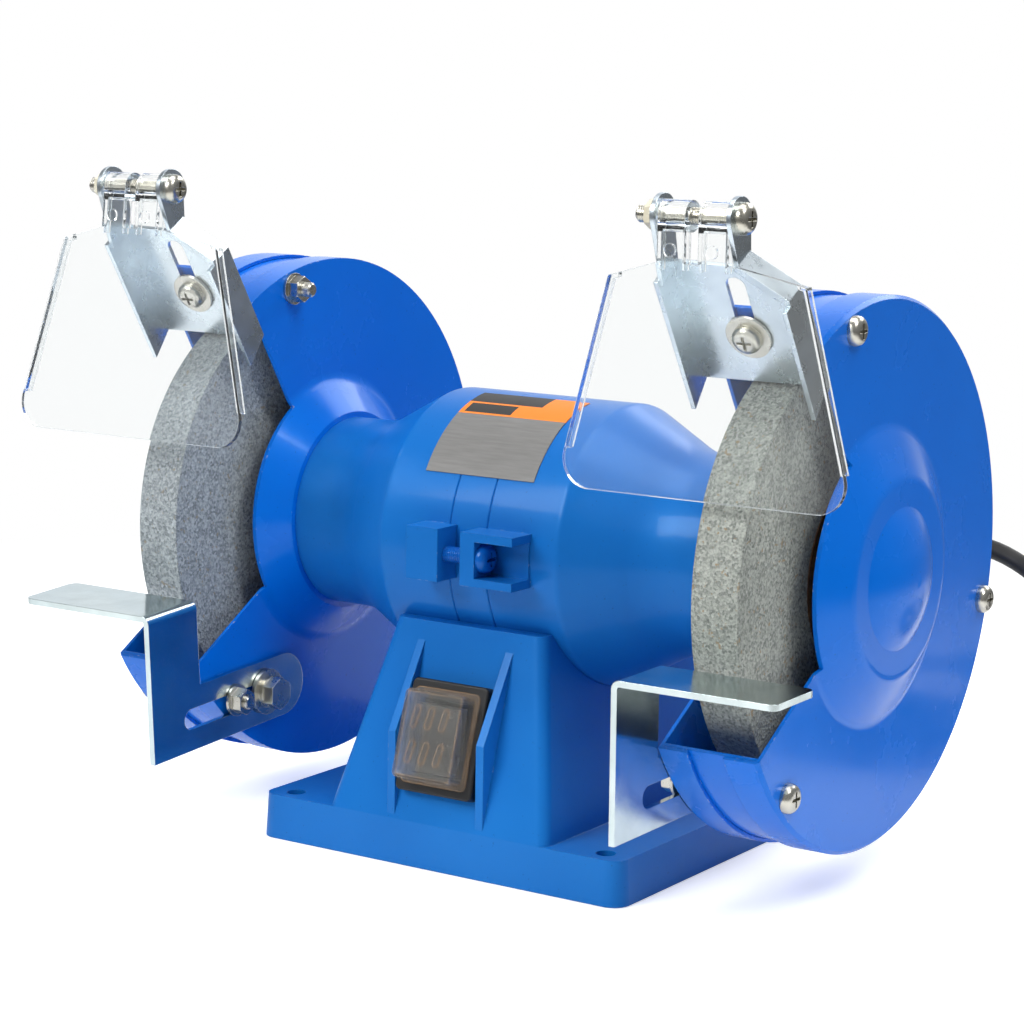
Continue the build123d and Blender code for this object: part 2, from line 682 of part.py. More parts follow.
# ---------------------------------------------------------------- tool rests
for name, sign in sides:
    tilt = radians(rest_nose_down[name])
    rest_plane = Plane(
        origin=(sign * rest_outer_face, rest_bolt_y, rest_bolt_z),
        x_dir=(0, cos(tilt), sin(tilt)),
        z_dir=(1, 0, 0),
    )
    half_arm = rest_arm_width / 2
    section_plane = Plane(
        origin=rest_plane.from_local_coords((rest_front, 0, 0)),
        x_dir=(sign, 0, 0),
        z_dir=-sign * rest_plane.x_dir,
    )
    with BuildPart() as tool_rest:
        with BuildSketch(section_plane):
            with BuildLine():
                Polyline(
                    (0, -half_arm),
                    (0, rest_height),
                    (rest_plate_length, rest_height),
                    (rest_plate_length, rest_height - rest_thickness),
                    (rest_thickness, rest_height - rest_thickness),
                    (rest_thickness, -half_arm),
                    close=True,
                )
            make_face()
        extrude(amount=-sign * rest_plate_depth)
        with BuildSketch(rest_plane):
            with Locations((rest_front, 0)):
                Rectangle(rest_arm_tail - rest_front, rest_arm_width, align=(Align.MIN, Align.CENTER))
            with Locations((rest_arm_tail, 0)):
                Circle(half_arm)
        extrude(amount=sign * rest_thickness)
        with BuildSketch(rest_plane):
            slot_length = rest_slot_rear - rest_slot_front
            with Locations(((rest_slot_rear + rest_slot_front) / 2, 0)):
                SlotCenterToCenter(slot_length, rest_slot_width)
        extrude(amount=sign * rest_thickness, mode=Mode.SUBTRACT)
        along_slot = Axis((0, 0, 0), rest_plane.x_dir)
        bend_edge = tool_rest.edges().filter_by(along_slot).sort_by(Axis.Z).group_by(Axis.Z)[-1].sort_by(
            lambda edge: abs(edge.center().X))[0]
        fillet(bend_edge, rest_thickness + 0.8)
        inner_bend = tool_rest.edges().filter_by(along_slot).filter_by(
            lambda edge: abs(abs(edge.center().X) - rest_outer_face - rest_thickness) < 0.01
        ).sort_by(Axis.Z)[-1]
        fillet(inner_bend, 0.8)
        far_corners = tool_rest.edges().filter_by(
            lambda edge: abs(abs(edge.center().X) - rest_outer_face - rest_plate_length) < 0.01
            and edge.length < 2 * rest_thickness)
        fillet(far_corners, 3)
    finish(tool_rest, f"tool_rest_{name}")

    washer_face = rest_outer_face - slide
    with BuildPart() as rest_clamp:
        with Locations(facing((sign * washer_face, rest_bolt_y, rest_bolt_z), (-sign, 0, 0))):
            add(washer(16, rest_bolt_size + 2 * running, 1.4))
        with Locations(facing((sign * (washer_face - 1.4), rest_bolt_y, rest_bolt_z), (-sign, 0, 0))):
            add(washer(11, rest_bolt_size + 2 * running, 1.4))
        with Locations(facing((sign * (washer_face - 2.8), rest_bolt_y, rest_bolt_z), (-sign, 0, 0))):
            add(hex_body(10, 4.2, 0))
            Cylinder(rest_bolt_size / 2, guard_inner_face + sheet + 6 - washer_face + 2.8,
                     align=(Align.CENTER, Align.CENTER, Align.MAX))
        with Locations(facing((sign * (guard_inner_face + sheet), rest_bolt_y, rest_bolt_z), (sign, 0, 0))):
            add(hex_body(10, 5, rest_bolt_size + 2 * running))
    finish(rest_clamp, f"rest_clamp_{name}")

# ---------------------------------------------------------------- eye shields
half_bracket = bracket_width / 2
hinge_bore = 5.3
ear_sheet = bracket_sheet
head_seat = ear_right + ear_sheet
nut_seat = ear_left - ear_sheet

rim_width = 1.3
rim_depth = 2.0

with BuildSketch() as shield_outline:
    with BuildLine():
        Polyline(
            (ear_left - 1, -shield_top),
            (ear_right + 3, -shield_top),
            (shield_offset + shield_top_width / 2, -shield_shoulder),
            (shield_offset + shield_bottom_width / 2, -shield_bottom),
            (shield_offset - shield_bottom_width / 2, -shield_bottom),
            (shield_offset - shield_top_width / 2, -shield_shoulder),
            close=True,
        )
    make_face()
    fillet(shield_outline.vertices().group_by(Axis.Y)[0], 9)

with BuildSketch() as shield_field:
    add(shield_outline.sketch)
    offset(amount=-rim_width)
    with Locations((shield_offset, -shield_bottom)):
        Rectangle(shield_bottom_width + 2, 24)
    with Locations((shield_offset, -shield_top)):
        Rectangle(shield_top_width - 6, 2 * (shield_shoulder - shield_top) + 6)


def side_plane(bracket_plane, across):
    """Plane square to the shaft at a distance across a bracket: out from the shaft, then forward."""
    return Plane(
        origin=(bracket_plane.origin.X + across, 0, axis_height),
        x_dir=bracket_plane.y_dir,
        z_dir=(1, 0, 0),
    )


for name, sign in sides:
    shield_plane = shield_planes[name]

    with BuildPart() as shield_bracket:
        with BuildSketch(shield_plane.offset(slide)):
            with BuildLine():
                Polyline(
                    (-half_bracket, bracket_bottom),
                    (half_bracket, bracket_bottom),
                    (half_bracket, bracket_shoulder),
                    (ear_right + 3, bracket_shoulder + 7),
                    (-half_bracket, bracket_shoulder + 8),
                    close=True,
                )
            make_face()
            slot_length = bracket_slot_top - bracket_slot_bottom
            with Locations((0, (bracket_slot_top + bracket_slot_bottom) / 2)):
                SlotCenterToCenter(slot_length, bracket_slot_width, rotation=90, mode=Mode.SUBTRACT)
        extrude(amount=bracket_sheet)
        for flange_start, flange_top in ((-half_bracket, bracket_shoulder + 8),
                                         (half_bracket - bracket_sheet, bracket_shoulder)):
            with BuildSketch(side_plane(shield_plane, flange_start)):
                with BuildLine():
                    Polyline(
                        (bracket_bottom, slide),
                        (bracket_bottom - 5, bracket_flange),
                        (flange_top - 1, bracket_flange),
                        (flange_top, slide),
                        close=True,
                    )
                make_face()
            extrude(amount=bracket_sheet)
        for ear_start, ear_base, back, front in (
            (nut_seat, bracket_shoulder + 5, slide, bracket_flange - 1),
            (ear_right, bracket_shoulder + 11, slide, bracket_joggle),
        ):
            with BuildSketch(side_plane(shield_plane, ear_start)):
                with BuildLine():
                    Polyline(
                        (ear_base, back),
                        (hinge_radius, -ear_radius),
                        (hinge_radius, ear_radius),
                        (ear_base, front),
                        close=True,
                    )
                make_face()
                with Locations((hinge_radius, 0)):
                    Circle(ear_radius)
            extrude(amount=ear_sheet)
        with BuildSketch(shield_plane.offset(slide)):
            with BuildLine():
                Polyline(
                    (ear_right, bracket_shoulder + 11),
                    (ear_right + ear_sheet, bracket_shoulder + 12.5),
                    (half_bracket, bracket_shoulder + 1),
                    (half_bracket, bracket_shoulder - 1),
                    (half_bracket - bracket_sheet, bracket_shoulder - 1),
                    close=True,
                )
            make_face()
        extrude(amount=bracket_joggle)
        with Locations(shield_plane.shift_origin(shield_plane.from_local_coords((0, hinge_radius, 0)))):
            Cylinder(hinge_bore / 2, 3 * bracket_width, rotation=(0, 90, 0), mode=Mode.SUBTRACT)
    finish(shield_bracket, f"shield_bracket_{name}")

    hinge_point = shield_plane.from_local_coords((0, hinge_radius, 0))
    with BuildPart() as hinge_screw:
        with Locations(facing((hinge_point.X + head_seat, hinge_point.Y, hinge_point.Z), (1, 0, 0))):
            add(pan_screw(5, 35, 9.8, 3.6))
    finish(hinge_screw, f"hinge_screw_{name}")

    with BuildPart() as hinge_nut:
        with Locations(facing((hinge_point.X + nut_seat, hinge_point.Y, hinge_point.Z), (-1, 0, 0))):
            add(hex_body(8, 3.6, 5 + 2 * running))
    finish(hinge_nut, f"hinge_nut_{name}")

    clamp_front = bracket_sheet + 2 * slide
    clamp_screw = pan_screw(5, clamp_front + 1 + sheet + fit + 6, 9.5, 3.2)
    with BuildPart() as shield_clamp:
        clamp_point = shield_plane.from_local_coords
        forward = shield_plane.z_dir
        with Locations(facing(clamp_point((0, clamp_screw_radius, clamp_front)), forward)):
            add(washer(15, 5 + 2 * running, 1))
        with Locations(facing(clamp_point((0, clamp_screw_radius, clamp_front + 1)), forward)):
            add(clamp_screw)
        with Locations(facing(clamp_point((0, clamp_screw_radius, -sheet - fit)), -forward)):
            add(hex_body(8, 4, 5 + 2 * running))
    finish(shield_clamp, f"shield_clamp_{name}")

    lean = radians(shield_tilt[name])
    eye_plane = Plane(origin=hinge_point, x_dir=(1, 0, 0), z_dir=(0, -cos(lean), sin(lean)))
    back_face = knuckle_radius - shield_thickness
    knuckle_ends = ((ear_left + 0.3, -9.4), (-4.8, ear_right - 0.3))
    with BuildPart() as eye_shield:
        with BuildSketch(eye_plane.offset(back_face)):
            add(shield_outline.sketch)
        extrude(amount=shield_thickness)
        with BuildSketch(eye_plane.offset(back_face - rim_depth)):
            add(shield_outline.sketch)
            add(shield_field.sketch, mode=Mode.SUBTRACT)
        extrude(amount=rim_depth)
        for start, end in knuckle_ends:
            with Locations(eye_plane):
                with Locations(((start + end) / 2, 0, 0)):
                    Cylinder(knuckle_radius, end - start, rotation=(0, 90, 0))
                with Locations(((start + end) / 2, -shield_top / 2 - 1, back_face + shield_thickness / 2)):
                    Box(end - start, shield_top + 2, shield_thickness)
                for edge in (start + 0.6, end - 0.6):
                    with Locations((edge, -shield_top / 2 - 1, back_face)):
                        Box(1.2, shield_top + 2, 2 * shield_thickness)
                with Locations(((start + end) / 2, -shield_top + 4, back_face + shield_thickness)):
                    Cylinder(2, 1.6)
        with Locations(eye_plane):
            Cylinder(hinge_bore / 2, 3 * bracket_width, rotation=(0, 90, 0), mode=Mode.SUBTRACT)
    finish(eye_shield, f"eye_shield_{name}")

# ---------------------------------------------------------------- switch
body_width = bezel_width - 4 - 2 * fit
body_length = bezel_length - 4 - 2 * fit
body_depth = 22.0
well_width = 17.0
well_length = 24.6
well_depth = 8.0
pivot_height = 1.0
pivot_diameter = 3.0
cover_wall = 0.9

with BuildPart() as switch_housing:
    with BuildSketch(switch_plane):
        RectangleRounded(bezel_width, bezel_length, 2)
    extrude(amount=bezel_thickness)
    fillet(switch_housing.faces().filter_by(
        lambda face: face.normal_at().dot(switch_plane.z_dir) > 0.99).edges(), 0.8)
    with BuildSketch(switch_plane):
        Rectangle(body_width, body_length)
    extrude(amount=-body_depth)
    with BuildSketch(switch_plane.offset(bezel_thickness)):
        Rectangle(well_width, well_length)
    extrude(amount=-bezel_thickness - well_depth, mode=Mode.SUBTRACT)
    with Locations(switch_plane.offset(pivot_height)):
        Cylinder(pivot_diameter / 2 + fit, well_width + 4, rotation=(0, 90, 0), mode=Mode.SUBTRACT)
finish(switch_housing, "switch_housing")

off_lean = front_slope - rocker_throw / 2
pivot_plane = switch_plane.offset(pivot_height)
rocker_plane = Plane(
    origin=pivot_plane.origin,
    x_dir=(1, 0, 0),
    z_dir=(0, -cos(radians(off_lean)), sin(radians(off_lean))),
)
rocker_reach = well_length / 2 - 1.0
with BuildPart() as switch_rocker:
    with BuildSketch(Plane(origin=rocker_plane.origin, x_dir=rocker_plane.y_dir, z_dir=(1, 0, 0))):
        with BuildLine():
            ends = Polyline(
                (-rocker_reach, 5.6),
                (-rocker_reach, 2.5),
                (-rocker_reach / 2, -4.5),
                (rocker_reach / 2, -4.5),
                (rocker_reach, 2.5),
                (rocker_reach, 5.6),
            )
            ThreePointArc(ends @ 1, (0, 4.0), ends @ 0)
        make_face()
    extrude(amount=well_width / 2 - slide, both=True)
    with Locations(pivot_plane):
        Cylinder(pivot_diameter / 2, well_width + 3, rotation=(0, 90, 0))
finish(switch_rocker, "switch_rocker")

with BuildPart() as switch_dust_cover:
    with BuildSketch(switch_plane.offset(bezel_thickness)):
        RectangleRounded(dust_cover_width + 2.4, dust_cover_length + 2.4, 2)
    extrude(amount=cover_wall)
    with BuildSketch(switch_plane.offset(bezel_thickness)):
        RectangleRounded(dust_cover_width, dust_cover_length, 2)
    extrude(amount=dust_cover_height - bezel_thickness)
    fillet(switch_dust_cover.faces().filter_by(
        lambda face: face.normal_at().dot(switch_plane.z_dir) > 0.99).sort_by(Axis.Y)[0].edges(), 0.7)
    with BuildSketch(switch_plane.offset(bezel_thickness)):
        Rectangle(dust_cover_width - 2 * cover_wall, dust_cover_length - 2 * cover_wall)
    extrude(amount=dust_cover_height - bezel_thickness - cover_wall, mode=Mode.SUBTRACT)
    with BuildSketch(switch_plane.offset(dust_cover_height - 0.2)):
        with GridLocations(5.6, 11.5, 3, 2):
            SlotOverall(7.4, 2.2, rotation=80)
    extrude(amount=0.6)
finish(switch_dust_cover, "switch_dust_cover")

# ---------------------------------------------------------------- run capacitor
capacitor_diameter = 30.0
capacitor_length = 50.0
capacitor_y = 14.0
capacitor_z = plate_top + capacitor_diameter / 2 + slide
clip_width = 12.0
clip_foot = 12.0
with BuildPart() as run_capacitor:
    with BuildSketch(Plane.YZ.offset(-capacitor_length / 2)):
        with Locations((capacitor_y, capacitor_z)):
            Circle(capacitor_diameter / 2)
    extrude(amount=capacitor_length)
    fillet(run_capacitor.edges(), 1.5)
    with Locations((capacitor_length / 2, capacitor_y - 5, capacitor_z),
                   (capacitor_length / 2, capacitor_y + 5, capacitor_z)):
        Box(8, 0.8, 5, align=(Align.MIN, Align.CENTER, Align.CENTER))
finish(run_capacitor, "run_capacitor")

with BuildPart() as capacitor_clip:
    clip_inner = capacitor_diameter / 2 + fit
    clip_outer = clip_inner + sheet
    with BuildSketch(Plane.YZ.offset(-clip_width / 2)):
        with Locations((capacitor_y, capacitor_z)):
            Circle(clip_outer)
        with Locations((capacitor_y, plate_top)):
            Rectangle(2 * clip_outer, capacitor_z - plate_top, align=(Align.CENTER, Align.MIN))
            Rectangle(2 * (clip_outer + clip_foot), sheet, align=(Align.CENTER, Align.MIN))
        with Locations((capacitor_y, capacitor_z)):
            Circle(clip_inner, mode=Mode.SUBTRACT)
        with Locations((capacitor_y, plate_top)):
            Rectangle(2 * clip_inner, capacitor_z - plate_top, align=(Align.CENTER, Align.MIN),
                      mode=Mode.SUBTRACT)
            Rectangle(2 * clip_outer, clip_outer, align=(Align.CENTER, Align.MAX), mode=Mode.SUBTRACT)
    extrude(amount=clip_width)
finish(capacitor_clip, "capacitor_clip")

# ---------------------------------------------------------------- rating plate
plate_from = 98.0
plate_to = 149.0
plate_half_width = 21.3
plate_gauge = 0.3
with BuildPart() as rating_plate:
    with BuildSketch(Plane.YZ.offset(-plate_half_width)):
        with BuildLine():
            span = plate_to - plate_from
            lower_arc = CenterArc((0, axis_height), motor_radius + running, plate_from, span)
            upper_arc = CenterArc((0, axis_height), motor_radius + running + plate_gauge, plate_from, span)
            Line(lower_arc @ 0, upper_arc @ 0)
            Line(lower_arc @ 1, upper_arc @ 1)
        make_face()
    extrude(amount=2 * plate_half_width)
finish(rating_plate, "rating_plate")

# ---------------------------------------------------------------- mains cord
# The cord leaves the rear wall square to it, arches over to the right and comes down to a hank on the
# bench, with the plug on a short tail.
cord_route = (
    (0.0, 92.2, 48.1),
    (0.0, 121.0, 56.5),
    (20.0, 146.0, 66.0),
    (54.0, 159.0, 80.0),
    (88.0, 156.0, 91.0),
    (120.0, 148.5, 81.0),
    (144.0, 146.5, 56.0),
    (157.0, 146.8, 31.0),
    (170.0, 147.2, 13.0),
    (191.5, 147.5, 4.5),
)
tail_route = (
    (256.0, 214.0, 4.5),
    (249.8, 237.2, 9.5),
    (232.8, 254.2, 18.0),
    (211.6, 259.9, 18.0),
)
coil_centre = (218.0, 185.0)
plug_direction = Vector(-21.2, 5.7, 0)


def arc_radii(route):
    """Largest corner radii that the runs of a route leave room for."""
    radii = []
    for before, corner, after in zip(route, route[1:], route[2:]):
        run_in = Vector(corner) - Vector(before)
        run_out = Vector(after) - Vector(corner)
        half_turn = radians(run_in.get_angle(run_out) / 2)
        radii.append(0.45 * min(run_in.length, run_out.length) / tan(half_turn))
    return radii


print("cord radii", [round(radius, 1) for radius in arc_radii(cord_route) + arc_radii(tail_route)])

with BuildPart() as power_cord:
    for route in (cord_route, tail_route):
        with BuildLine() as path:
            FilletPolyline(*route, radius=arc_radii(route))
        with BuildSketch(Plane(origin=path.line @ 0, z_dir=path.line % 0)):
            Circle(cord_diameter / 2)
        sweep(path=path.line)
finish(power_cord, "power_cord")

coil_width = coil_across * cord_diameter
coil_height = coil_layers * cord_diameter
with BuildPart() as cord_coil:
    with BuildSketch():
        with Locations(coil_centre):
            Circle((coil_turn_diameter + coil_width) / 2)
            Circle((coil_turn_diameter - coil_width) / 2, mode=Mode.SUBTRACT)
    extrude(amount=coil_height)
    fillet(cord_coil.edges(), cord_diameter / 2)
finish(cord_coil, "cord_coil")

relief_inside = casting_wall + 2
with BuildPart() as cord_strain_relief:
    with Locations(rear_plane):
        Cylinder(8, 3, align=(Align.CENTER, Align.CENTER, Align.MIN))
        Cone(6.2, cord_diameter / 2 + 1.0, strain_relief_length, align=(Align.CENTER, Align.CENTER, Align.MIN))
        Cylinder(relief_collar, relief_inside, align=(Align.CENTER, Align.CENTER, Align.MAX))
finish(cord_strain_relief, "cord_strain_relief")

plug_radius = 18.0
plug_length = 26.0
plug_boot = 16.0
pin_spacing = 19.0
pin_diameter = 4.8
pin_length = 19.0
plug_start = Vector(*tail_route[-1])
plug_plane = Plane(origin=plug_start, x_dir=(0, 0, 1), z_dir=plug_direction)
with BuildPart() as power_plug:
    with Locations(plug_plane):
        Cone(cord_diameter / 2 + 1.2, 9, plug_boot, align=(Align.CENTER, Align.CENTER, Align.MIN))
    with BuildSketch(plug_plane.offset(plug_boot)):
        Circle(plug_radius)
    extrude(amount=plug_length)
    fillet(power_plug.edges().filter_by(GeomType.CIRCLE).filter_by(
        lambda edge: edge.radius > plug_radius - 0.1), 3)
finish(power_plug, "power_plug")

with BuildPart() as plug_pins:
    with BuildSketch(plug_plane.offset(plug_boot + plug_length)):
        with GridLocations(1, pin_spacing, 1, 2):
            Circle(pin_diameter / 2)
    extrude(amount=pin_length)
finish(plug_pins, "plug_pins")
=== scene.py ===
"""Looks for the bench grinder: materials, the mains lead, screw threads and the stage."""
import math

import bmesh
import bpy
from mathutils import Matrix, Vector


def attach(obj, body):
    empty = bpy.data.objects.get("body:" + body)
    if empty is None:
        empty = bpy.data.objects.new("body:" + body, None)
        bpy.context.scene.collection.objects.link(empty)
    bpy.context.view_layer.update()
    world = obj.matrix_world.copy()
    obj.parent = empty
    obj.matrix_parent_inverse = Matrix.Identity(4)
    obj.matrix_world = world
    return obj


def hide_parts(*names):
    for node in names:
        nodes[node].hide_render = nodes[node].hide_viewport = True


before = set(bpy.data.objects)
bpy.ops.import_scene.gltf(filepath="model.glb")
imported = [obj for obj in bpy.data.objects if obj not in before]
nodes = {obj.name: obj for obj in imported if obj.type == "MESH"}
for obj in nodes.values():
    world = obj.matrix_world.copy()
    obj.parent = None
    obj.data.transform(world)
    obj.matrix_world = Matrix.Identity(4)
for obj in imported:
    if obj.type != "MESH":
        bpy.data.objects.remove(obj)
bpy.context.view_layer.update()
scene = bpy.context.scene
MM = 0.001
AXIS_HEIGHT = 103.4
SIDES = (("left", -1), ("right", 1))
WHITE = (1, 1, 1, 1)

# ------------------------------------------------------------------ camera
CAMERA_AIM = (-0.013838, 0, 0.109514)
CAMERA_DISTANCE = 0.962675
FOCAL_LENGTH = 98.599
azimuth, elevation, roll = (math.radians(v) for v in (33.387, 9.236, 0.994))
back = Vector((math.sin(azimuth) * math.cos(elevation), -math.cos(azimuth) * math.cos(elevation),
               math.sin(elevation)))
across = Vector((math.cos(azimuth), math.sin(azimuth), 0))
upward = back.cross(across)
cam_data = bpy.data.cameras.new("camera")
cam_data.lens = FOCAL_LENGTH
cam_data.sensor_width = 36
cam_data.clip_start = 0.05
camera = bpy.data.objects.new("camera", cam_data)
scene.collection.objects.link(camera)
cam_x = across * math.cos(roll) + upward * math.sin(roll)
cam_y = upward * math.cos(roll) - across * math.sin(roll)
camera_turn = Matrix((cam_x, cam_y, back)).transposed().to_4x4()
camera.matrix_world = Matrix.Translation(Vector(CAMERA_AIM) + back * CAMERA_DISTANCE) @ camera_turn
scene.camera = camera

# ------------------------------------------------------------------ mains lead, in millimetres
ROUTE = (
    (0.0, 92.2, 48.1), (0.0, 121.0, 56.5), (20.0, 146.0, 66.0), (54.0, 159.0, 80.0), (88.0, 156.0, 91.0),
    (120.0, 148.5, 81.0), (144.0, 146.5, 56.0), (157.0, 146.8, 31.0), (170.0, 147.0, 13.0),
    (191.5, 146.0, 4.0),
)
TAIL = (
    (259.0, 210.0, 6.5), (249.8, 237.2, 9.5), (232.8, 254.2, 18.0), (211.6, 259.9, 18.0),
)
LEAD = 6.8
COIL_CENTRE = (218.0, 185.0)
COIL_RADIUS = 37.5
STEPS = 16
STEP = 360 / STEPS
COIL_START, COIL_END = 281.25, 2155
pitch = LEAD * 1.01
outer, middle, inner = (r / math.cos(math.pi / STEPS)
                        for r in (COIL_RADIUS + pitch, COIL_RADIUS, COIL_RADIUS - pitch))
low_layer = 3.45
high_layer = low_layer + LEAD
crossing = (inner - 1.6, (low_layer + high_layer) / 2)


def coil_point(degrees):
    """Radius and height of the wound lead at an angle, counted from where it joins the coil."""
    stages = (
        (270, outer, low_layer), (570, outer, low_layer), (630, middle, low_layer),
        (930, middle, low_layer), (990, inner, low_layer), (1290, inner, low_layer),
        (1320, *crossing), (1350, inner, high_layer),
        (1650, inner, high_layer), (1710, middle, high_layer), (2010, middle, high_layer),
        (2070, outer, high_layer), (2520, outer, high_layer),
    )
    for (a, ra, za), (b, rb, zb) in zip(stages, stages[1:]):
        if a <= degrees <= b:
            t = (degrees - a) / (b - a)
            return ra + (rb - ra) * t, za + (zb - za) * t
    return outer, high_layer


coil = []
angle = COIL_START
while angle < COIL_END:
    radius, height = coil_point(angle)
    turn = math.radians(angle)
    coil.append((COIL_CENTRE[0] + radius * math.cos(turn), COIL_CENTRE[1] + radius * math.sin(turn), height))
    angle += STEP
lead_data = bpy.data.curves.new("mains_lead", "CURVE")
lead_data.dimensions = "3D"
lead_data.bevel_depth = 1  # times each point's radius
lead_data.bevel_resolution = 6
lead_data.resolution_u = 8
lead_data.use_fill_caps = True
spline = lead_data.splines.new("NURBS")
points = [*ROUTE, *coil, *TAIL]
spline.points.add(len(points) - 1)
for point, place in zip(spline.points, points):
    point.co = (*(v / 1000 for v in place), 1)
    point.radius = LEAD / 2000
spline.order_u = 3
spline.use_endpoint_u = True
lead = bpy.data.objects.new("mains_lead", lead_data)
scene.collection.objects.link(lead)
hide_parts("power_cord", "cord_coil")
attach(lead, "frame")


# ------------------------------------------------------------------ node helpers
def linear(*colour):
    """Linear colour of an 8-bit display colour."""
    parts = (v / 255 for v in colour)
    return *(v / 12.92 if v < 0.0404 else ((v + 0.055) / 1.055) ** 2.4 for v in parts), 1


class Shader:
    """A Principled material with a few helpers that add and link nodes."""

    def __init__(self, name, **sockets):
        self.material = bpy.data.materials.new(name)
        self.material.use_nodes = True
        self.tree = self.material.node_tree
        self.tree.nodes.clear()
        self.surface = self.node("BsdfPrincipled")
        output = self.node("OutputMaterial")
        self.link(self.surface.outputs[0], output.inputs["Surface"])
        self.coords = self.node("TexCoord").outputs["Object"]
        for key, value in sockets.items():
            self.surface.inputs[key.replace("_", " ")].default_value = value

    def node(self, kind, **values):
        made = self.tree.nodes.new("ShaderNode" + kind)
        for key, value in values.items():
            setattr(made, key, value)
        return made

    def link(self, source, target):
        self.tree.links.new(source, target)

    def put(self, source, socket):
        self.link(source, self.surface.inputs[socket])

    def noise(self, scale, detail=3.0, roughness=0.55, stretch=None, offset=(0, 0, 0)):
        mapping = self.node("Mapping")
        mapping.inputs["Location"].default_value = offset
        mapping.inputs["Scale"].default_value = stretch or (1, 1, 1)
        self.link(self.coords, mapping.inputs["Vector"])
        made = self.node("TexNoise")
        made.inputs["Scale"].default_value = scale
        made.inputs["Detail"].default_value = detail
        made.inputs["Roughness"].default_value = roughness
        self.link(mapping.outputs[0], made.inputs["Vector"])
        return made.outputs["Fac"]

    def cells(self, scale):
        made = self.node("TexVoronoi", feature="F1")
        made.inputs["Scale"].default_value = scale
        self.link(self.coords, made.inputs["Vector"])
        return made

    def ramp(self, source, *stops):
        made = self.node("ValToRGB")
        elements = made.color_ramp.elements
        while len(elements) < len(stops):
            elements.new(0.5)
        for element, (place, colour) in zip(elements, stops):
            element.position = place
            element.color = colour
        self.link(source, made.inputs[0])
        return made.outputs["Color"]

    def levels(self, source, low, high, start=0.3, end=0.7):
        made = self.node("MapRange")
        for key, value in (("From Min", start), ("From Max", end), ("To Min", low), ("To Max", high)):
            made.inputs[key].default_value = value
        self.link(source, made.inputs["Value"])
        return made.outputs["Result"]

    def math(self, operation, first, second):
        made = self.node("Math", operation=operation)
        for index, value in enumerate((first, second)):
            if isinstance(value, (int, float)):
                made.inputs[index].default_value = value
            else:
                self.link(value, made.inputs[index])
        return made.outputs[0]

    def mix(self, factor, first, second):
        made = self.node("Mix", data_type="RGBA")
        for index, value in ((0, factor), (6, first), (7, second)):
            if isinstance(value, (int, float, tuple)):
                made.inputs[index].default_value = value
            else:
                self.link(value, made.inputs[index])
        return made.outputs[2]

    def bump(self, height, distance, strength=1.0, edge=0.0):
        made = self.node("Bump")
        made.inputs["Distance"].default_value = distance
        made.inputs["Strength"].default_value = strength
        self.link(height, made.inputs["Height"])
        if edge:
            bevel = self.node("Bevel", samples=4)
            bevel.inputs["Radius"].default_value = edge
            self.link(bevel.outputs[0], made.inputs["Normal"])
        self.put(made.outputs[0], "Normal")

    def edge_mask(self, radius, start, end):
        """1 along sharp edges and 0 on flats."""
        bevel = self.node("Bevel", samples=4)
        bevel.inputs["Radius"].default_value = radius
        dot = self.node("VectorMath", operation="DOT_PRODUCT")
        self.link(bevel.outputs[0], dot.inputs[0])
        self.link(self.node("NewGeometry").outputs["Normal"], dot.inputs[1])
        return self.levels(dot.outputs["Value"], 1.0, 0.0, start, end)


def paint(name, colour, deep, roughness, coat, peel, grain, chips=0.0):
    """Blue paint over metal: slow colour drift, orange peel, dust specks and chips on edges."""
    s = Shader(name, Coat_Weight=coat, Coat_Roughness=0.1, Specular_IOR_Level=0.4,
               Specular_Tint=(0.2, 0.55, 1.0, 1))
    drift = s.ramp(s.noise(9, 4), (0.3, linear(*deep)), (0.7, linear(*colour)))
    speck = s.levels(s.noise(grain * 0.7, 2, offset=(3, 1, 2)), 0.0, 0.55, 0.70, 0.76)
    tone = s.mix(speck, drift, linear(*(int(v * 0.55) for v in colour)))
    if chips:
        flakes = s.levels(s.noise(420, 4), 0, 1, 0.60, 0.66)
        worn = s.math("MULTIPLY", s.edge_mask(0.0007, 0.80, 0.97), flakes)
        tone = s.mix(s.math("MULTIPLY", worn, chips), tone, linear(205, 214, 224))
    s.put(tone, "Base Color")
    s.put(s.levels(s.noise(40, 5), roughness - 0.05, roughness + 0.07), "Roughness")
    height = s.math("ADD", s.noise(peel, 2), s.math("MULTIPLY", s.noise(grain, 3), 0.35))
    s.bump(height, 0.00004, 0.5, 0.0005)
    return s.material


def metal(name, colour, rough, drift=0.08, brushed=None, edge=0.0003, tint=None):
    """Bare or plated metal with cloudy gloss, faint handling marks and soft edges."""
    s = Shader(name, Metallic=1.0, Specular_IOR_Level=0.5)
    cloud = s.noise(55, 5, 0.6)
    dark = tuple(max(0, v - 26) for v in colour)
    base = s.ramp(cloud, (0.3, linear(*dark)), (0.7, linear(*colour)))
    if tint:
        base = s.mix(s.levels(s.noise(24, 3, offset=(5, 5, 5)), 0.0, 0.5, 0.45, 0.7), base, linear(*tint))
    s.put(base, "Base Color")
    s.put(s.levels(s.noise(70, 6, 0.65, offset=(1, 7, 3)), rough - drift, rough + drift), "Roughness")
    lines = s.noise(260, 4, 0.6, stretch=brushed or (1, 1, 1))
    s.bump(lines, 0.00002, 0.45, edge)
    return s.material


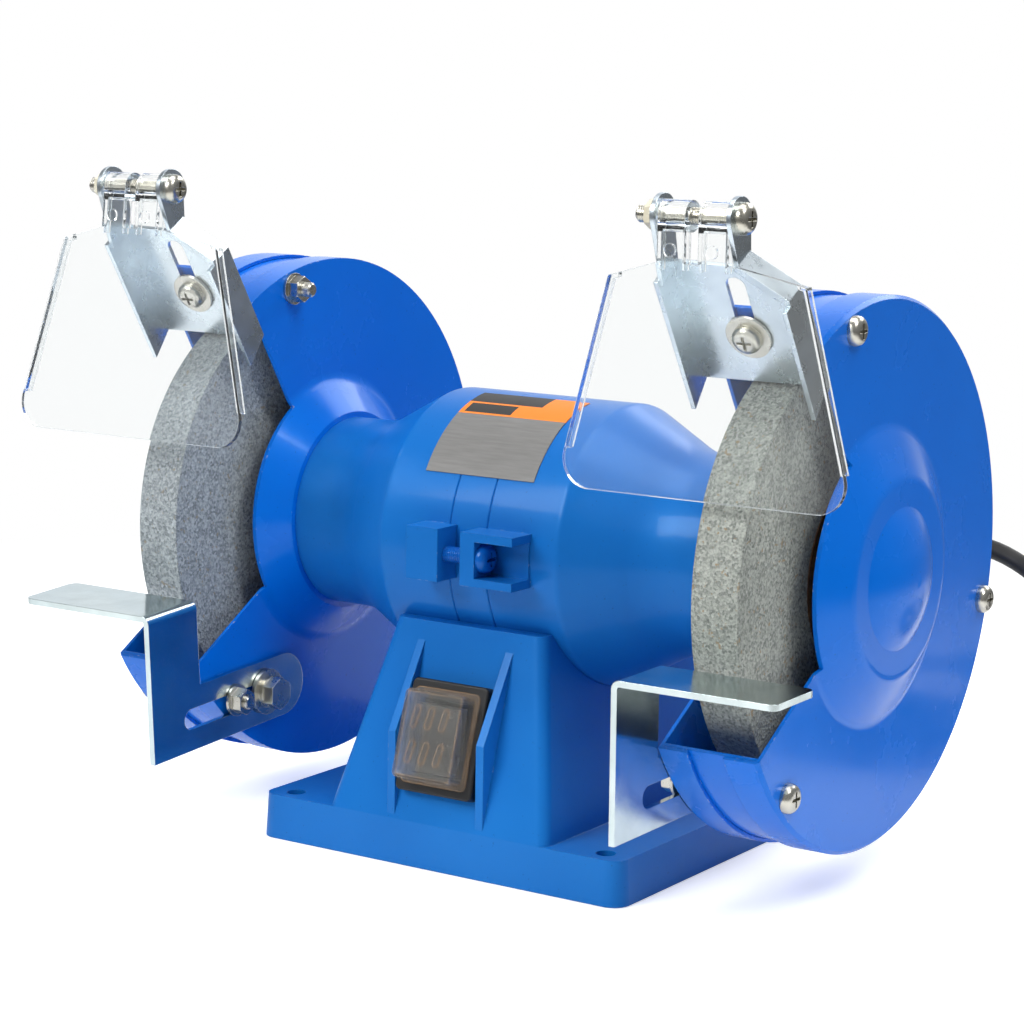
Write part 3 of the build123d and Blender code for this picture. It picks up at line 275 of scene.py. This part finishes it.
def grit(name, light, dark, warm):
    """Bonded abrasive: packed grains of light and dark grit with brown bond showing between them."""
    s = Shader(name, Specular_IOR_Level=0.25)
    grains = s.cells(1150)
    tone = s.ramp(grains.outputs["Color"], (0.15, linear(*dark)), (0.55, linear(*light)),
                  (0.9, linear(*(min(255, v + 34) for v in light))))
    fine = s.ramp(s.noise(1500, 3, 0.7), (0.36, linear(*dark)), (0.62, linear(*light)))
    tone = s.mix(0.5, tone, fine)
    brown = s.levels(s.noise(520, 2, offset=(9, 2, 4)), 0.0, 0.75, 0.64, 0.70)
    tone = s.mix(brown, tone, linear(*warm))
    cloud = s.levels(s.noise(26, 4), 0.0, 0.35, 0.4, 0.75)
    tone = s.mix(cloud, tone, linear(*(int(v * 0.72) for v in light)))
    s.put(tone, "Base Color")
    s.surface.inputs["Roughness"].default_value = 0.92
    pits = s.math("ADD", grains.outputs["Distance"], s.math("MULTIPLY", s.noise(1500, 3, 0.7), 0.8))
    s.bump(pits, 0.00035, 0.9, 0.0006)
    return s.material


def plastic(name, colour, rough, peel=500, depth=0.00002, edge=0.0004, coat=0.0):
    """Moulded plastic or rubber with a fine texture."""
    s = Shader(name, Specular_IOR_Level=0.45, Coat_Weight=coat)
    lighter = tuple(min(255, int(v * 1.25) + 6) for v in colour)
    s.put(s.ramp(s.noise(60, 4), (0.35, linear(*colour)), (0.75, linear(*lighter))), "Base Color")
    s.put(s.levels(s.noise(90, 4, offset=(2, 2, 2)), rough - 0.06, rough + 0.08), "Roughness")
    s.bump(s.noise(peel, 3), depth, 0.6, edge)
    return s.material


def clear(name, colour, alpha, rough, haze, rim, rim_alpha, rim_radius):
    """Clear moulding: glassy, lightly scuffed, and denser along its edges."""
    s = Shader(name, IOR=1.49, Specular_IOR_Level=0.5)
    edge = s.edge_mask(rim_radius, 0.84, 0.97)
    s.put(s.mix(edge, linear(*colour), linear(*rim)), "Base Color")
    s.put(s.levels(edge, 1.0 - haze, 0.45, 0.0, 1.0), "Transmission Weight")
    s.put(s.levels(edge, alpha, rim_alpha, 0.0, 1.0), "Alpha")
    s.put(s.levels(s.noise(120, 5, 0.7), rough, rough + 0.06, 0.45, 0.8), "Roughness")
    s.bump(s.noise(35, 2), 0.00002, 0.3)
    return s.material


cast_blue = paint("cast_blue", (24, 112, 192), (14, 99, 180), 0.34, 0.12, 420, 1300, chips=0.25)
sheet_blue = paint("sheet_blue", (0, 112, 222), (0, 106, 214), 0.24, 0.22, 200, 1500, chips=0.85)
fastener_blue = paint("fastener_blue", (6, 98, 190), (2, 84, 172), 0.3, 0.25, 600, 1400)
zinc_sheet = metal("zinc_sheet", (218, 228, 234), 0.28, 0.07, (1, 1, 9), 0.0003, (196, 210, 224))
rest_zinc = metal("rest_zinc", (216, 228, 228), 0.17, 0.06, (6, 1, 1), 0.0003, (196, 214, 222))
zinc_bolt = metal("zinc_bolt", (208, 206, 198), 0.27, 0.08, None, 0.0003, (214, 206, 178))
dark_steel = metal("dark_steel", (120, 122, 126), 0.38, 0.08, (12, 1, 1))
turned_steel = metal("turned_steel", (150, 151, 154), 0.32, 0.08, (14, 1, 1))
bright_steel = metal("bright_steel", (190, 192, 195), 0.18, 0.05, (14, 1, 1))
brass = metal("pin_brass", (214, 190, 126), 0.25, 0.06)
can = metal("capacitor_can", (188, 190, 194), 0.3, 0.06, (12, 1, 1))
grit_left = grit("grit_left", (176, 184, 188), (106, 114, 118), (150, 140, 120))
grit_right = grit("grit_right", (184, 188, 180), (108, 114, 110), (160, 134, 96))
black_plastic = plastic("black_plastic", (17, 17, 19), 0.42)
rocker_plastic = plastic("rocker_plastic", (30, 26, 24), 0.30, coat=0.3)
cream_nut = plastic("cream_nut", (222, 214, 190), 0.45)
black_rubber = plastic("black_rubber", (16, 16, 17), 0.55, 700, 0.00004, 0.0006)
shield_clear = clear("shield_clear", (253, 255, 255), alpha=1.0, rough=0.0, haze=0.015,
                     rim=(236, 243, 246), rim_alpha=1.0, rim_radius=0.0005)
cover_clear = clear("cover_clear", (236, 238, 234), alpha=0.42, rough=0.06, haze=0.10,
                    rim=(226, 176, 124), rim_alpha=0.6, rim_radius=0.0012)


def blotter():
    """Brown card with paper fibre."""
    s = Shader("blotter_card", Specular_IOR_Level=0.2)
    s.put(s.ramp(s.noise(240, 5, 0.7), (0.3, linear(74, 50, 34)), (0.7, linear(112, 80, 56))), "Base Color")
    s.surface.inputs["Roughness"].default_value = 0.9
    s.bump(s.noise(900, 4), 0.00005, 0.6)
    return s.material


def plate():
    """Printed foil plate without any lettering: a dark band, an orange band and a brushed grey field."""
    s = Shader("printed_plate", Specular_IOR_Level=0.5)
    split = s.node("SeparateXYZ")
    s.link(s.coords, split.inputs[0])
    x, y, z = split.outputs
    turn = s.math("ARCTAN2", s.math("SUBTRACT", z, AXIS_HEIGHT * MM), y)
    degrees = s.math("MULTIPLY", turn, 180 / math.pi)
    grey = s.ramp(s.noise(900, 4, 0.6, stretch=(0.1, 1, 1)), (0.3, linear(112, 111, 109)),
                  (0.7, linear(124, 123, 121)))
    orange, black = linear(238, 128, 26), linear(44, 42, 40)
    top = s.math("LESS_THAN", degrees, 108.5)
    second = s.math("LESS_THAN", degrees, 118.0)
    right = s.math("GREATER_THAN", x, 0.0075)
    box = s.math("MULTIPLY", s.math("LESS_THAN", x, -0.001), s.math("GREATER_THAN", x, -0.0195))
    box = s.math("MULTIPLY", box, s.math("GREATER_THAN", degrees, 109.8))
    box = s.math("MULTIPLY", box, s.math("LESS_THAN", degrees, 116.8))
    tone = s.mix(second, grey, orange)
    tone = s.mix(s.math("MULTIPLY", box, second), tone, black)
    tone = s.mix(top, tone, black)
    tone = s.mix(s.math("MULTIPLY", top, right), tone, orange)
    s.put(tone, "Base Color")
    s.put(s.levels(s.noise(60, 4), 0.42, 0.52), "Roughness")
    s.bump(s.noise(900, 3), 0.00001, 0.3)
    return s.material


def winding():
    """Varnished copper wire laid round the bore."""
    s = Shader("winding_wire", Metallic=0.75, Coat_Weight=0.6, Specular_IOR_Level=0.5)
    s.put(s.ramp(s.noise(500, 3, stretch=(6, 1, 1)), (0.3, linear(120, 58, 28)), (0.7, linear(176, 98, 52))),
          "Base Color")
    s.surface.inputs["Roughness"].default_value = 0.35
    s.bump(s.noise(700, 2, stretch=(5, 1, 1)), 0.0003, 0.8)
    return s.material


blotter_card, printed_plate, winding_wire = blotter(), plate(), winding()
FINISH = {
    "pedestal": cast_blue, "base_plate": sheet_blue, "base_plate_screws": zinc_bolt,
    "end_bell_left": cast_blue, "end_bell_right": cast_blue, "stator_core": cast_blue,
    "stator_windings": winding_wire, "housing_tie_screws": fastener_blue, "saddle_bolts": zinc_bolt,
    "bearing_outer_rings": bright_steel, "bearing_inner_rings": bright_steel, "bearing_balls": bright_steel,
    "rotor_shaft": bright_steel, "rotor_core": dark_steel, "wheel_blotters": blotter_card,
    "grinding_wheel_left": grit_left, "grinding_wheel_right": grit_right,
    "switch_housing": black_plastic, "switch_rocker": rocker_plastic, "switch_dust_cover": cover_clear,
    "run_capacitor": can, "capacitor_clip": zinc_sheet, "rating_plate": printed_plate,
    "cord_strain_relief": black_rubber, "power_plug": black_rubber, "plug_pins": brass,
    "power_cord": black_rubber, "cord_coil": black_rubber,
}
for side, _ in SIDES:
    FINISH.update({
        f"clamp_flanges_{side}": turned_steel, f"wheel_nut_{side}": turned_steel,
        f"guard_disc_{side}": sheet_blue, f"guard_band_{side}": sheet_blue, f"guard_cover_{side}": sheet_blue,
        f"guard_mount_screws_{side}": zinc_bolt, f"cover_screws_{side}": zinc_bolt,
        f"cover_nuts_{side}": zinc_bolt, f"tool_rest_{side}": rest_zinc, f"rest_clamp_{side}": zinc_bolt,
        f"shield_bracket_{side}": zinc_sheet, f"hinge_screw_{side}": zinc_bolt,
        f"hinge_nut_{side}": cream_nut, f"shield_clamp_{side}": zinc_bolt, f"eye_shield_{side}": shield_clear,
    })
for name, node in nodes.items():
    node.data.materials.clear()
    node.data.materials.append(FINISH[name])
lead_data.materials.append(black_rubber)


# ------------------------------------------------------------------ screw threads
THREAD_STEPS = 20
THREAD_PITCH = 0.8
# radius beside the nominal one and place along the axis, in pitches, of a thread's section
THREAD_SECTION = ((-0.12, -0.42), (0.16, -0.06), (0.16, 0.06), (-0.12, 0.42))


def about_shaft(x, radius, degrees):
    """Point at a radius and angle about the shaft, in millimetres."""
    turn = math.radians(degrees)
    return Vector((x, radius * math.cos(turn), AXIS_HEIGHT + radius * math.sin(turn)))


def thread(name, start, end, radius, body, finish):
    """Fine helical thread over a shank between two points, in millimetres."""
    start, end = Vector(start) * MM, Vector(end) * MM
    pitch = THREAD_PITCH * MM
    direction = (end - start).normalized()
    side = direction.orthogonal().normalized()
    other = direction.cross(side)
    turns = (end - start).length / pitch
    mesh = bpy.data.meshes.new(name)
    bm = bmesh.new()
    rings = []
    for step in range(int(turns * THREAD_STEPS) + 1):
        turn = 2 * math.pi * step / THREAD_STEPS
        out = side * math.cos(turn) + other * math.sin(turn)
        place = start + direction * (step / THREAD_STEPS * pitch)
        rings.append([
            bm.verts.new(place + out * (radius + proud) * MM + direction * along * pitch)
            for proud, along in THREAD_SECTION
        ])
    for ring, following in zip(rings, rings[1:]):
        for i in range(4):
            j = (i + 1) % 4
            bm.faces.new((ring[i], ring[j], following[j], following[i]))
    bm.faces.new(rings[0][::-1])
    bm.faces.new(rings[-1])
    bmesh.ops.recalc_face_normals(bm, faces=bm.faces)
    bm.to_mesh(mesh)
    bm.free()
    piece = bpy.data.objects.new(name, mesh)
    scene.collection.objects.link(piece)
    mesh.materials.append(finish)
    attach(piece, body)


TIE_SCREW_Y = 52.9
TIE_THREAD_HALF = 4.3
for label, y in (("front", -TIE_SCREW_Y), ("rear", TIE_SCREW_Y)):
    thread(f"tie_thread_{label}", (-TIE_THREAD_HALF, y, AXIS_HEIGHT), (TIE_THREAD_HALF, y, AXIS_HEIGHT), 2.5,
           "frame", fastener_blue)

GUARD_MIDDLE, BRACKET_SHIFT = 108.2, -3.2
HINGE_RADIUS, HINGE_ANGLE = 135.5, 122
HINGE_THREAD = (-27.6, 5.2)
COVER_SCREW_RADIUS, COVER_SCREW_ANGLES = 83, (106.4, 226.4, 346.4)
COVER_THREAD_TIP = 82.6
COVER_THREAD_ROOTS = (85.5, 85.7, 85.5)
for side, sign in SIDES:
    centre = sign * GUARD_MIDDLE + BRACKET_SHIFT
    hinge_low, hinge_high = (about_shaft(centre + x, HINGE_RADIUS, HINGE_ANGLE) for x in HINGE_THREAD)
    thread(f"hinge_thread_{side}", hinge_low, hinge_high, 2.5, f"shield_bracket_{side}", zinc_bolt)
    for index, (turn, root) in enumerate(zip(COVER_SCREW_ANGLES, COVER_THREAD_ROOTS)):
        tip, end = (about_shaft(sign * x, COVER_SCREW_RADIUS, turn) for x in (COVER_THREAD_TIP, root))
        thread(f"cover_thread_{side}_{index}", tip, end, 2.4, "frame", zinc_bolt)

# ------------------------------------------------------------------ stage and light
FLOOR_RADIUS = 12
FLOOR_DROP = 0.0002
FADE_START, FADE_END = 0.42, 0.62  # where the lit floor gives way to the plain background
BEYOND_IN_REFLECTIONS = 0.14
floor_mesh = bpy.data.meshes.new("floor")
bm = bmesh.new()
bmesh.ops.create_circle(bm, cap_ends=True, radius=FLOOR_RADIUS, segments=64)
bm.to_mesh(floor_mesh)
bm.free()
floor = bpy.data.objects.new("floor", floor_mesh)
floor.location.z = -FLOOR_DROP
scene.collection.objects.link(floor)
pale = Shader("pale_floor", Roughness=0.6, Specular_IOR_Level=0.2)
cloud = pale.ramp(pale.noise(3, 2), (0.3, (0.90, 0.90, 0.90, 1)), (0.7, (0.93, 0.93, 0.93, 1)))
pale.put(cloud, "Base Color")
pale.surface.inputs["Emission Color"].default_value = WHITE
reach = pale.node("VectorMath", operation="LENGTH")
pale.link(pale.coords, reach.inputs[0])
away = pale.levels(reach.outputs["Value"], 0.0, 1.0, FADE_START, FADE_END)
beyond = pale.node("Emission")
seen_by = pale.node("LightPath")
direct = pale.math("MAXIMUM", seen_by.outputs["Is Camera Ray"], seen_by.outputs["Is Transmission Ray"])
pale.put(pale.levels(direct, 0.06, 0.5, 0.0, 1.0), "Emission Strength")
pale.link(pale.levels(direct, BEYOND_IN_REFLECTIONS, 1.0, 0.0, 1.0), beyond.inputs["Strength"])
joined = pale.node("MixShader")
pale.link(away, joined.inputs[0])
pale.link(pale.surface.outputs[0], joined.inputs[1])
pale.link(beyond.outputs[0], joined.inputs[2])
pale.link(joined.outputs[0], pale.tree.nodes["Material Output"].inputs["Surface"])
floor_mesh.materials.append(pale.material)

# The world is white where it is seen, and in reflections it is bright only behind the object.
BACKDROP_DIRECTION = (-0.54, 0.82, 0.17)
world = bpy.data.worlds.new("studio")
scene.world = world
world.use_nodes = True
world.node_tree.nodes.clear()


def world_node(kind, **values):
    """Node in the world's tree."""
    made = world.node_tree.nodes.new("ShaderNode" + kind)
    for key, value in values.items():
        setattr(made, key, value)
    return made


def world_link(source, target):
    """Link in the world's tree."""
    world.node_tree.links.new(source, target)


output = world_node("OutputWorld")
seen = world_node("Background")
seen.inputs["Color"].default_value = WHITE
seen.inputs["Strength"].default_value = 1.0
ambient = world_node("Background")
ambient.inputs["Color"].default_value = (0.93, 0.96, 1.0, 1)
facing = world_node("VectorMath", operation="DOT_PRODUCT")
facing.inputs[1].default_value = BACKDROP_DIRECTION
backdrop = world_node("MapRange")
for key, value in (("From Min", 0.70), ("From Max", 0.92), ("To Min", 0.27), ("To Max", 1.0)):
    backdrop.inputs[key].default_value = value
world_link(world_node("TexCoord").outputs["Generated"], facing.inputs[0])
world_link(facing.outputs["Value"], backdrop.inputs["Value"])
world_link(backdrop.outputs["Result"], ambient.inputs["Strength"])
path = world_node("LightPath")
through = world_node("Math", operation="MAXIMUM")
world_link(path.outputs["Is Camera Ray"], through.inputs[0])
world_link(path.outputs["Is Transmission Ray"], through.inputs[1])
blend = world_node("MixShader")
world_link(through.outputs[0], blend.inputs[0])
world_link(ambient.outputs[0], blend.inputs[1])
world_link(seen.outputs[0], blend.inputs[2])
world_link(blend.outputs[0], output.inputs["Surface"])


def softbox(name, place, target, size, power):
    """Square studio softbox aimed at a point."""
    data = bpy.data.lights.new(name, "AREA")
    data.shape = "RECTANGLE"
    data.size, data.size_y = size
    data.energy = power
    light = bpy.data.objects.new(name, data)
    light.location = place
    light.rotation_mode = "QUATERNION"
    light.rotation_quaternion = (Vector(target) - Vector(place)).to_track_quat("-Z", "Y")
    scene.collection.objects.link(light)


softbox("key", (-0.5, -1.25, 1.05), (0, 0, 0.1), (0.9, 0.6), 17)
softbox("side", (0.95, -0.25, 1.25), (0.05, 0, 0.1), (0.5, 0.5), 8)
softbox("rear", (0.3, 1.2, 1.0), (0, 0, 0.12), (1.2, 0.6), 9)
softbox("top", (0.0, 0.0, 1.5), (0, 0, 0.1), (1.2, 0.8), 10)
scene.view_settings.view_transform = "Standard"
